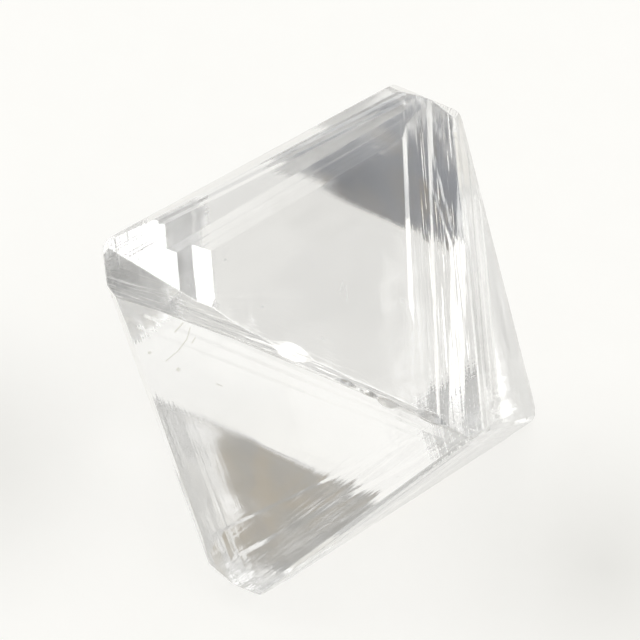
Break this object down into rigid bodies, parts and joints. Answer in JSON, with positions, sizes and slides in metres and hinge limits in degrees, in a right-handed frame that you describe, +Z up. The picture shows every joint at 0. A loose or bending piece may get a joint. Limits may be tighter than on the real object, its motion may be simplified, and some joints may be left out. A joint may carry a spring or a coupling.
{
  "type": "rough diamond",
  "caption": "Clear natural octahedral diamond crystal with growth steps and bevelled edges, lying on one flat face.",
  "frame": {"origin": "under the middle of the bounding box, on the plane that the crystal rests on", "axes": "+Z up, square to the resting face and the level upper face; +X to the right of the camera that looks along +Y"},
  "size_m": [0.0066, 0.0066, 0.0046],
  "materials": {
    "clear_crystal": "glassy natural crystal faces, colourless, with fine growth steps"
  },
  "bodies": {
    "root": {"diamond_crystal": "clear_crystal"}
  },
  "joints": []
}
